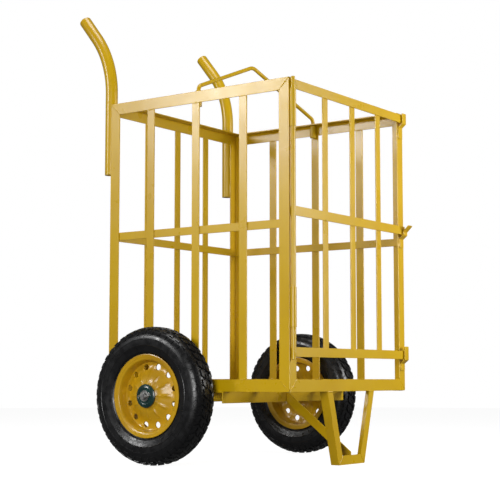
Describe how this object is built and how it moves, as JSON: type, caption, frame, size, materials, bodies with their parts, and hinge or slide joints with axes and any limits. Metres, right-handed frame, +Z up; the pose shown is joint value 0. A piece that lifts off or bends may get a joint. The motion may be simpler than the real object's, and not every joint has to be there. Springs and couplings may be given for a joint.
{
  "type": "cage hand cart",
  "caption": "Two-wheeled hand cart with a tall slatted steel cage, a side-hinged lift-off gate, a lift-out hoop, tube handles and a braced front stand.",
  "frame": {"origin": "on the ground, under the middle of the bounding box", "axes": "+Z up, X along the axle, -Y towards the gate and the stand, +Y towards the handles"},
  "size_m": [0.895, 0.8503, 1.4028],
  "materials": {
    "yellow_paint": "glossy yellow enamel over welded steel",
    "black_rubber": "semi-gloss black rubber",
    "axle_steel": "bright drawn steel",
    "zinc_plate": "bright zinc plate",
    "bush_bronze": "plain sintered bronze",
    "dark_green_cap": "glossy dark green"
  },
  "bodies": {
    "frame": {"post_front_left": "yellow_paint", "post_front_right": "yellow_paint", "post_rear_left": "yellow_paint", "post_rear_right": "yellow_paint", "top_rail_left": "yellow_paint", "top_rail_right": "yellow_paint", "top_rail_rear": "yellow_paint", "mid_rail_left": "yellow_paint", "mid_rail_right": "yellow_paint", "mid_rail_rear": "yellow_paint", "bottom_rail_left": "yellow_paint", "bottom_rail_right": "yellow_paint", "bottom_rail_front": "yellow_paint", "bottom_rail_rear": "yellow_paint", "side_bar_left_1": "yellow_paint", "side_bar_left_2": "yellow_paint", "side_bar_left_3": "yellow_paint", "side_bar_right_1": "yellow_paint", "side_bar_right_2": "yellow_paint", "side_bar_right_3": "yellow_paint", "rear_bar_1": "yellow_paint", "rear_bar_2": "yellow_paint", "rear_bar_3": "yellow_paint", "floor_grid": "yellow_paint", "cross_beam_front": "yellow_paint", "axle_beam": "yellow_paint", "axle": "axle_steel", "handle_left": "yellow_paint", "handle_right": "yellow_paint", "stand_leg_left": "yellow_paint", "stand_leg_right": "yellow_paint", "stand_foot": "yellow_paint", "stand_brace": "yellow_paint", "gate_hook_top": "yellow_paint", "gate_hook_mid": "yellow_paint", "gate_hook_bottom": "yellow_paint", "hinge_sleeve_upper": "yellow_paint", "hinge_sleeve_lower": "yellow_paint", "hoop_sleeve_left": "yellow_paint", "hoop_sleeve_right": "yellow_paint", "split_pin_left": "zinc_plate", "split_pin_right": "zinc_plate", "axle_washer_left": "zinc_plate", "axle_washer_right": "zinc_plate"},
    "wheel_left": {"tyre_left": "black_rubber", "rim_left": "yellow_paint", "wheel_bush_left": "bush_bronze", "hub_cap_left": "dark_green_cap"},
    "wheel_right": {"tyre_right": "black_rubber", "rim_right": "yellow_paint", "wheel_bush_right": "bush_bronze", "hub_cap_right": "dark_green_cap"},
    "hoop": {"hoop": "yellow_paint"},
    "gate_rod": {"gate_rod": "yellow_paint"},
    "gate": {"gate_rail_top": "yellow_paint", "gate_rail_mid": "yellow_paint", "gate_rail_bottom": "yellow_paint", "gate_bar_1": "yellow_paint", "gate_bar_2": "yellow_paint", "gate_bar_3": "yellow_paint"}
  },
  "joints": [
    {"name": "wheel_left_spin", "type": "hinge", "parent": "frame", "child": "wheel_left", "pos_m": [-0.3925, 0.04293, 0.201], "axis": [1, 0, 0], "continuous": true},
    {"name": "wheel_right_spin", "type": "hinge", "parent": "frame", "child": "wheel_right", "pos_m": [0.3925, 0.04293, 0.201], "axis": [1, 0, 0], "continuous": true},
    {"name": "hoop_lift", "type": "slide", "parent": "frame", "child": "hoop", "axis": [0, 0, 1], "range_m": [0, 0.03]},
    {"name": "gate_lift", "type": "slide", "parent": "frame", "child": "gate_rod", "axis": [0, 0, 1], "range_m": [0, 0.045]},
    {"name": "gate_swing", "type": "hinge", "parent": "gate_rod", "child": "gate", "pos_m": [-0.3235, -0.39837, 0.7], "axis": [0, 0, 1], "range_deg": [-210, 0]}
  ]
}
